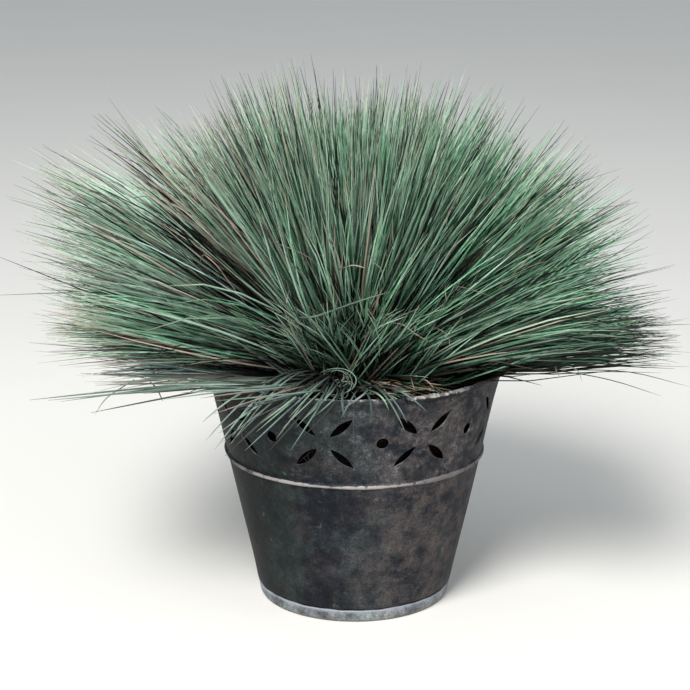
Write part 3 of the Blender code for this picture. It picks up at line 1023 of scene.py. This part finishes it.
def plan_locks():
    """The living shoots. Those of one lock stand close together and run nearly the same way."""
    rng = np.random.default_rng(51)
    locks, _, reach = held_by_tufts(spread_over_dome(LOCKS, 0.42, 52), 1.2)
    lock = np.repeat(np.arange(len(locks)), rng.integers(3, 8, len(locks)))
    count = len(lock)
    ways = lifted(locks[lock] + rng.normal(0.0, LOCK_SPREAD, (count, 3)), rng)
    base = unit(locks + rng.normal(0.0, 0.16, locks.shape))
    root = rooted(rng, base[lock], 0.14, 0.0165, 0.0220)
    seen = np.degrees(np.arctan2(ways[:, 2], ways[:, 0]))
    long = (reach * rng.uniform(0.91, 1.0, len(reach)))[lock] * rng.uniform(0.95, 1.0, count)
    long = kept_in(ways, long * np.interp(seen, *zip(*OUTLINE)))
    limits = ((-0.25, 0.25), (-0.15, 0.20), (-0.10, 0.10))
    lock_green, lock_dry, lock_light = (rng.uniform(*ends, len(locks))[lock] for ends in limits)
    side = ways[:, 0]
    right_low_shade, left_low = sheltered(ways)
    # Painted light and shade: a little lighter towards the left, darker low at the right, and
    # lighter low at the left, which is also drier.
    hue = hues(
        rng,
        (0.57 + 0.50 * side + lock_green, 0.10),
        (0.11 - 0.09 * side + 0.40 * left_low + lock_dry, 0.08),
        (0.545 - 0.09 * side + lock_light - 0.80 * right_low_shade + 0.22 * left_low, 0.08),
    )
    turn_gap_dark(rng, ways, hue, long)
    weight = np.clip(rng.normal(0.42, 0.15, count), 0.1, 0.9)
    blades = rng.integers(5, 10, count)
    plan = shoot_plan(rng, ways, root, long, weight, 0.07, blades=blades, hue=hue)
    return nearest_tuft(ways), plan


def plan_short():
    """Shorter living shoots in front of and between the locks, less well combed than those."""
    rng = np.random.default_rng(57)
    ways, tuft, reach = held_by_tufts(spread_over_dome(SHORT_SHOOTS, 0.6, 58), 1.3)
    ways = lifted(ways, rng)
    count = len(ways)
    long = reach * rng.uniform(0.40, 0.95, count)
    root = rooted(rng, ways, 0.22, 0.0175, 0.0225)
    right_low_shade, left_low = sheltered(ways)
    # Painted shade low at the right, and painted light low at the left, which is also drier.
    hue = hues(
        rng,
        (0.50 + 0.45 * ways[:, 0], 0.22),
        (0.10 + 0.26 * left_low, 0.16),
        (0.52 - 0.44 * right_low_shade + 0.10 * left_low, 0.14),
    )
    long = kept_in(ways, np.where(in_gap(ways, GAP_CLEARING), np.minimum(long, 0.070), long))
    blades = rng.integers(3, 7, count)
    weight = rng.uniform(0.1, 0.8, count)
    return tuft, shoot_plan(rng, ways, root, long, weight, 0.11, blades=blades, hue=hue)


def plan_front():
    """Short living shoots at the open front. They cross one another, and their pale tips stand
    before the dark feet of the long ones."""
    rng = np.random.default_rng(60)
    azimuth, elevation = (
        np.radians(rng.uniform(*ends, FRONT_SHOOTS)) for ends in ((-85.0, 85.0), (26.0, 82.0))
    )
    ways = lifted(heading(azimuth, elevation), rng)
    root = rooted(rng, ways, 0.42, 0.0170, 0.0225)
    long = kept_in(ways, rng.uniform(0.036, 0.120, FRONT_SHOOTS))
    long = np.where(in_gap(ways, GAP_CLEARING), np.minimum(long, 0.060), long)
    right_low_shade, _ = sheltered(ways)
    # Painted shade low at the right.
    middles = (0.50 + 0.45 * ways[:, 0], 0.10, 0.50 - 0.34 * right_low_shade)
    hue = hues(rng, *zip(middles, (0.15, 0.14, 0.12)))
    blades = rng.integers(3, 7, FRONT_SHOOTS)
    weight = rng.uniform(0.1, 0.6, FRONT_SHOOTS)
    plan = shoot_plan(rng, ways, root, long, weight, 0.09, blades=blades, hue=hue)
    return nearest_tuft(ways), plan


def plan_dead():
    """The dead leaves inside the clump: shorter and purple brown, made near black as painted shade
    inside it, darkest near the crown.
    """
    rng = np.random.default_rng(54)
    ways, tuft, reach = held_by_tufts(spread_over_dome(DEAD_SHOOTS, 0.5, 55), 1.3)
    count = len(ways)
    long = reach * rng.uniform(0.40, 0.80, count)
    # Mostly near black: painted shade inside the clump.
    light = rng.normal(0.10, 0.12, count)
    hue = np.stack([np.zeros(count), np.full(count, DEAD), light], axis=-1)
    blades = rng.integers(3, 6, count)
    weight = np.full(count, 0.9)
    root = CENTRE + ways * 0.0160
    return tuft, shoot_plan(rng, ways, root, long, weight, 0.10, blades=blades, hue=hue)


def plan_skirt():
    """Old leaves that lie low between the crown and the rim, ochre on the right, brown on the left.
    Those at the front and the right end inside the rim, and the others lie over it."""
    rng = np.random.default_rng(56)
    spans = (27.0, 333.0, SKIRT_SHOOTS), (10.0, 96.0, OCHRE_SHOOTS), (250.0, 296.0, LEFT_SHOOTS)
    azimuth = np.radians(np.concatenate([rng.uniform(*span) for span in spans]))
    count = len(azimuth)
    facing = np.cos(azimuth)
    within = (facing > 0.55) | ((np.sin(azimuth) > 0.0) & (facing > -0.30))

    def either(inside, outside):
        return np.where(within, rng.uniform(*inside, count), rng.uniform(*outside, count))

    tilt = np.radians(either((9.0, 24.0), (17.0, 27.0)))
    tilt[-LEFT_SHOOTS:] = np.radians(rng.uniform(20.0, 27.0, LEFT_SHOOTS))
    ways = heading(azimuth, tilt)
    root = CENTRE + heading(azimuth, tilt + 0.25) * rng.uniform(0.0150, 0.0205, (count, 1))
    long = either((0.048, 0.065), (0.065, 0.115))
    long[-LEFT_SHOOTS:] = rng.uniform(0.080, 0.150, LEFT_SHOOTS)
    loose = rng.uniform(0.15, 0.55, count)
    weight = np.where(np.arange(count) < count - LEFT_SHOOTS, 0.8, loose)
    side = ways[:, 0]
    dry = np.where(rng.random(count) < np.where(within, 0.25, 0.70), 0.2, DEAD)
    # Those over the rim are lighter towards the left, as painted light where the clump shades them.
    light = np.where(within, 0.34, 0.60 - 0.15 * side) + rng.normal(0.0, 0.10, count)
    hue = np.stack([0.30 + 1.2 * side, dry, light], axis=-1)
    blades = rng.integers(2, 5, count)
    plan = shoot_plan(rng, ways, root, long, weight, 0.10, blades=blades, hue=hue)
    return nearest_tuft(ways), plan


def make_tangle():
    """Short leaves round the front of the crown. They lie over the compost as far as the rim."""
    rng = np.random.default_rng(59)
    count = TANGLE_SHOOTS
    left = rng.random(count) < 0.5
    azimuth = np.where(left, rng.uniform(-75.0, -34.0, count), rng.uniform(12.0, 66.0, count))
    azimuth = np.radians(azimuth)
    ways = heading(azimuth, np.radians(rng.uniform(4.0, 26.0, count)))
    root = CENTRE + heading(azimuth, np.radians(rng.uniform(18.0, 40.0, count))) * 0.021
    long = rng.uniform(0.034, 0.062, count)
    dry = np.where(rng.random(count) < 0.45, 0.1, DEAD)
    hue = np.stack([0.8 + 1.0 * ways[:, 0], dry, 0.16 + rng.normal(0.0, 0.14, count)], axis=-1)
    blades = rng.integers(3, 6, count)
    plan = shoot_plan(rng, ways, root, long, np.full(count, 0.9), 0.22, blades=blades, hue=hue)
    start = start_mesh("plan_tangle", plan["root"], **plan)
    inputs = {"Fan": 0.14, "Bow": 0.16, "Seed": 800}
    piece = grown("crown_tangle", start, fescue_shoots, Material=fescue_blade, **inputs)
    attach(piece, "root")
    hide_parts("crown")


def make_grass():
    plans = [plan_locks(), plan_short(), plan_front(), plan_dead(), plan_skirt()]
    tuft = np.concatenate([where for where, _ in plans])
    plan = {title: np.concatenate([values[title] for _, values in plans]) for title in plans[0][1]}
    for index, name in enumerate(TUFT_NAMES):
        chosen = {title: value[tuft == index] for title, value in plan.items()}
        start = start_mesh(f"plan_{name}", chosen["root"], **chosen)
        seed = 100 + 10 * index
        piece = grown(f"blades_{name}", start, fescue_shoots, Seed=seed, Material=fescue_blade)
        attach(piece, "root")
        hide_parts(f"tuft_{name}")


make_grass()
make_tangle()

# ---------------------------------------------------------------------------------------
# Hanging blades. Short soft ones that lean out over the open front, lie on the rim, mostly on
# the left, and droop past it.

HANGING = (-45.0, -33.0, -21.0, -6.0, 14.0)
HANGING_LIGHT = ((0.10, 0.62), (0.00, 0.42), (0.00, 0.44), (0.14, 0.58), (0.14, 0.58))
HANGING_BLADES = (
    # azimuth over the rim, then azimuth, radius and height of the tip, in degrees and millimetres
    (-72, -88, 118, 132), (-68, -82, 112, 129), (-66, -72, 96, 126), (-63, -80, 116, 128),
    (-61, -68, 92, 122), (-59, -76, 116, 126), (-33, -41, 102, 101), (-55, -72, 106, 127),
    (-36, -44, 99, 108), (-31, -39, 100, 97), (-50, -73, 125, 121), (-48, -73, 134, 122),
    (-45, -73, 158, 111), (-43, -73, 144, 109), (-42, -55, 118, 127), (-39, -74, 127, 115),
    (-37, -62, 122, 117), (-34, -55, 113, 124), (-32, -50, 112, 119), (-31, -45, 105, 125),
    (-29, -46, 108, 123), (-29, -33, 99, 110), (-25, -42, 103, 121), (-25, -38, 99, 105),
    (-23, -37, 99, 101), (-23, -36, 97, 99), (-21, -39, 100, 114), (-19, -37, 97, 94),
    (-19, -33, 96, 101), (-18, -26, 95, 112), (-17, -28, 93, 107), (-16, -32, 95, 117),
    (-16, -29, 96, 113), (-15, -22, 93, 105), (-13, -39, 100, 120), (-12, -24, 94, 99),
    (-12, -21, 90, 109), (-10, -17, 88, 110), (-10, -14, 86, 115), (-9, -18, 92, 100),
    (-4, -3, 84, 114), (0, -4, 84, 114), (4, 5, 84, 113), (10, 14, 92, 110), (11, 15, 90, 113),
)
RIM_REST = 0.1222
RIM_REST_RADIUS = 74.5
TWIN_CHANCE = 0.45


def through(root, rest, tip, share, count=17):
    """A blade's centre line: one bow from root to tip that lies on the rim at rest."""
    step = np.linspace(0.0, 1.0, count)[:, None]
    pull = (rest - (1 - share) ** 2 * root - share**2 * tip) / (2 * share * (1 - share))
    return (1 - step) ** 2 * root + 2 * step * (1 - step) * pull + step**2 * tip


def lay_blades(name, lines, rng, nodes, width, dry, light, green=(0.0, 0.3), sheath=1.0):
    """One piece of the blades that run along these lines. Width, dry, light and green are ranges.
    The higher sheath is, the further out the blades stay brown, and dark with the painted shade at
    their feet."""
    count, points = len(lines), len(lines[0])
    along = np.tile(np.linspace(0.0, 1.0, points) ** sheath, count)
    hue = np.stack([rng.uniform(*limits, count) for limits in (green, dry, light)], axis=-1)
    girth = (1.0 - 0.85 * along**5) * np.repeat(rng.uniform(*width, count), points)
    values = {"girth": girth, "along": along, "hue": np.repeat(hue, points, axis=0)}
    start = start_mesh(name, np.concatenate(lines), count, **values)
    piece = grown(name, start, swept_lines, Sides=4, Smooth=False, Material=fescue_blade)
    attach(piece, "root")
    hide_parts(*nodes)


def make_hanging():
    """Some blades have a twin, which hangs a little shorter beside them."""
    rng = np.random.default_rng(61)
    lines = [[] for _ in HANGING]
    for over, azimuth, radius, height in HANGING_BLADES:
        middle = over > -8
        for twin in range(1 + (rng.random() < TWIN_CHANCE)):
            start = (over * 0.9 if middle else 0.75 * over - 32.0) + rng.normal(0.0, 13.0)
            tip = azimuth + rng.normal(4.0, 4.0) * twin
            turns = np.radians([start, over + 4.0 * twin, tip])
            radii = [rng.uniform(18.5, 24.5), RIM_REST_RADIUS, radius - 7.0 * twin]
            radii = np.array(radii) / 1000.0
            low = rng.uniform(0.1060, 0.1085) if middle else rng.uniform(0.1075, 0.1150)
            heights = [low, RIM_REST + rng.uniform(0.0, 0.0015), height / 1000.0 + 0.002 * twin]
            ends = np.stack([radii * np.sin(turns), -radii * np.cos(turns), heights], axis=-1)
            nearest = min(range(len(HANGING)), key=lambda index: abs(HANGING[index] - azimuth))
            lines[nearest].append(through(*ends, rng.uniform(0.54, 0.60)))
    for index, blades in enumerate(lines):
        number = f"{index + 1:02d}"
        name, nodes = f"blades_hanging_{number}", [f"tuft_hanging_{number}"]
        dry = (0.0, 0.78 if index == 0 else 0.68)
        ranges = ((0.00038, 0.00056), dry, HANGING_LIGHT[index], (-0.6, 0.3))
        lay_blades(name, blades, rng, nodes, *ranges, sheath=2.2)


make_hanging()

# ---------------------------------------------------------------------------------------
# Stray blades. Broken and curled dead blades caught among the others, a bent green one, a few
# thin ones that droop past the pot on both sides, fibres behind one punched petal, and the
# curled thatch in front of the crown.

STRAYS = (
    ((-98, -61, 209), (-92, -63, 210), (-85, -65, 209), (-75, -67, 204), (-65, -71, 196),
     (-59, -65, 185)),
    ((-69, -69, 180), (-67, -70, 185), (-65, -70, 184), (-61, -69, 180), (-56, -63, 171),
     (-49, -56, 159)),
    ((-36, -80, 193), (-28, -84, 191), (-20, -75, 185), (-16, -69, 179)),
    ((-7, -77, 180), (-1, -68, 180), (5, -69, 179)),
    ((6, -75, 187), (9, -72, 182), (12, -69, 178), (13, -63, 170)),
    ((16, -61, 152), (22, -61, 151), (28, -59, 146), (35, -54, 141)),
    ((35, -58, 149), (39, -54, 147), (43, -51, 143), (44, -49, 136)),
    ((41, -59, 169), (49, -55, 167), (55, -63, 167), (61, -73, 167)),
    ((41, -59, 169), (41, -58, 165), (42, -55, 160)),
    ((44, -77, 209), (41, -76, 205), (40, -74, 199)),
    ((26, -44, 122), (27, -45, 119), (28, -46, 116)),
    ((31, -45, 121), (34, -45, 120), (37, -47, 117)),
    ((-11, -85, 195), (-8, -81, 189), (-6, -75, 180), (-6, -67, 171)),
    ((-29, -71, 170), (-30, -73, 164), (-28, -64, 158)),
    ((-46, -51, 146), (-40, -48, 147), (-33, -47, 145), (-27, -44, 140)),
    ((19, -46, 140), (17, -41, 133), (18, -39, 127)),
)
BENT_GREEN = (
    ((-34, -47, 153), (-26, -59, 154), (-18, -66, 156), (-7, -58, 158), (6, -68, 165),
     (16, -64, 167)),
)
RIGHT_STRAYS = (
    ((79, -18, 117), (103, -18, 118), (132, -18, 117), (162, -12, 108)),
    ((74, -22, 119), (98, -24, 119), (122, -25, 115), (147, -21, 106)),
    ((91, -72, 133), (95, -73, 135), (98, -72, 134), (101, -68, 131), (103, -66, 126)),
    ((90, -72, 135), (91, -68, 131), (93, -65, 128)),
)
LEFT_STRAYS = (
    ((-106, -15, 112), (-113, -17, 108), (-120, -18, 103), (-125, -20, 96)),
    ((-98, -19, 112), (-95, -19, 109), (-93, -20, 105), (-92, -21, 103)),
)
ROOT_FIBRES = (
    ((-25.5, -59.6, 85.3), (-23.2, -60.5, 87.6), (-20.8, -61.4, 90.3), (-19.0, -62.0, 91.5)),
    ((-24.6, -60.0, 88.4), (-22.2, -60.9, 86.7), (-20.4, -61.5, 85.5)),
    ((-20.8, -61.4, 91.3), (-21.3, -61.2, 88.3), (-19.9, -61.7, 86.5), (-18.5, -62.1, 86.2)),
)
STRAY_SETS = (
    # name, lines in millimetres, nodes, then the ranges of width, dry and light
    ("stray_front", STRAYS, ("tuft_high_01", "tuft_high_10"),
     (0.00016, 0.00026), (1.0, 1.4), (0.5, 0.9)),
    ("stray_green", BENT_GREEN, ("tuft_high_10",), (0.00044, 0.00050), (0.0, 0.1), (0.30, 0.36)),
    ("stray_right", RIGHT_STRAYS, ("tuft_low_01", "tuft_low_02"),
     (0.00022, 0.00032), (0.0, 1.2), (0.1, 0.5)),
    ("stray_left", LEFT_STRAYS, ("tuft_low_14",), (0.00030, 0.00040), (1.0, 1.2), (0.4, 0.9)),
    ("root_fibres", ROOT_FIBRES, ("root_ball",), (0.00010, 0.00016), (1.0, 1.4), (0.1, 0.35)),
)
THATCH_CENTRE = np.array([-0.0079, -0.0400, 0.1175])
RING_CENTRE = np.array([-0.0092, -0.0600, 0.1232])
THATCH_RINGS = 2
THATCH_CURLS = 13


def smooth_line(points, count=13):
    """A smooth line through these points, which are in millimetres."""
    points = np.array(points, float) / 1000.0
    first, last = 2 * points[:1] - points[1:2], 2 * points[-1:] - points[-2:-1]
    points = np.concatenate([first, points, last])
    along = np.linspace(0.0, len(points) - 3 - 1e-6, count)
    index = along.astype(int)
    t = (along - index)[:, None]
    a, b, c, d = (points[index + step] for step in range(4))
    curved = (2 * a - 5 * b + 4 * c - d) * t**2 + (3 * b - a - 3 * c + d) * t**3
    return 0.5 * (2 * b + (c - a) * t + curved)


def thatch_loop(rng, ring, count=25):
    """A curled dead blade that lies tilted towards the front: one wide ring, or a small curl."""
    first, turn = rng.uniform(0.0, math.tau), rng.uniform(*(5.2, 6.1) if ring else (2.0, 4.4))
    angle = first + turn * np.linspace(0.0, 1.0, count)
    radius = rng.uniform(*(0.0082, 0.0092) if ring else (0.0022, 0.0056))
    radius = radius * (1.0 + 0.08 * np.sin(angle * 2 + rng.uniform(0.0, 6.0)))
    wide = np.array([1.0, rng.uniform(-0.2, 0.2), rng.uniform(-0.2, 0.2)])
    high = np.array([0.0, 0.75, 0.50] if ring else [0.0, rng.uniform(0.25, 0.60), 0.80])
    middle, spread = (RING_CENTRE, 0.0008) if ring else (THATCH_CENTRE, 0.0034)
    middle = middle + rng.normal(0.0, spread, 3) * (1.0, 0.6, 1.0)
    across, up = ((radius * swing(angle))[:, None] for swing in (np.cos, np.sin))
    return middle + across * wide + up * high


def make_strays():
    rng = np.random.default_rng(71)
    for name, lines, nodes, width, dry, light in STRAY_SETS:
        lay_blades(name, [smooth_line(line) for line in lines], rng, nodes, width, dry, light)
    loops = [thatch_loop(rng, index < THATCH_RINGS) for index in range(THATCH_RINGS + THATCH_CURLS)]
    ranges = ((0.00014, 0.00022), (0.0, 0.9), (0.35, 0.7), (-0.4, 0.1))
    lay_blades("crown_thatch", loops, rng, ["crown"], *ranges)


make_strays()

# ---------------------------------------------------------------------------------------
# Floor, light and camera. A pale matt floor, one broad soft lamp high on the left, a weaker
# one on the right, and an even pale surround.

CAMERA_PLACE = (0.0, -0.85, 0.3498)
CAMERA_TILT = 0.2580
CAMERA_TURN = 0.0054
LENS = 94.0
SENSOR = 36.0
LAMP_AIM = Vector((0.0, 0.0, 0.12))
LAMPS = (
    # name, place, size, watts, colour
    ("key", (-0.5, -1.35, 1.65), 0.9, 68.0, (1.0, 0.985, 0.96)),
    ("fill", (1.5, -0.7, 1.1), 1.3, 7.0, (0.95, 0.98, 1.0)),
)


def make_floor():
    bm = bmesh.new()
    bmesh.ops.create_grid(bm, x_segments=2, y_segments=2, size=12.0)
    material, tree, shader = new_material("pale_floor", 0.8)
    colour = tinted(noise(surface(tree), 3.0, 2.0), (0.66, 0.65, 0.62), (0.70, 0.69, 0.66))
    painted(material, shader, colour)
    finished("floor", bm, material)


def make_light_and_camera():
    scene = bpy.context.scene
    for name, stand, size, watts, colour in LAMPS:
        data = bpy.data.lights.new(name, "AREA")
        data.shape, data.size, data.energy, data.color = "DISK", size, watts, colour
        lamp = bpy.data.objects.new(name, data)
        lamp.location = stand
        lamp.rotation_euler = (LAMP_AIM - Vector(stand)).to_track_quat("-Z", "Y").to_euler()
        scene.collection.objects.link(lamp)
    scene.world = bpy.data.worlds.new("surround")
    scene.world.use_nodes = True
    background = scene.world.node_tree.nodes["Background"].inputs
    background["Color"].default_value = (0.90, 0.95, 1.0, 1.0)
    background["Strength"].default_value = 0.60
    data = bpy.data.cameras.new("camera")
    data.lens, data.sensor_width = LENS, SENSOR
    camera = bpy.data.objects.new("camera", data)
    camera.location = CAMERA_PLACE
    camera.rotation_euler = (math.pi / 2 - CAMERA_TILT, 0.0, CAMERA_TURN)
    scene.collection.objects.link(camera)
    scene.camera = camera
    scene.view_settings.view_transform = "Standard"


make_floor()
make_light_and_camera()
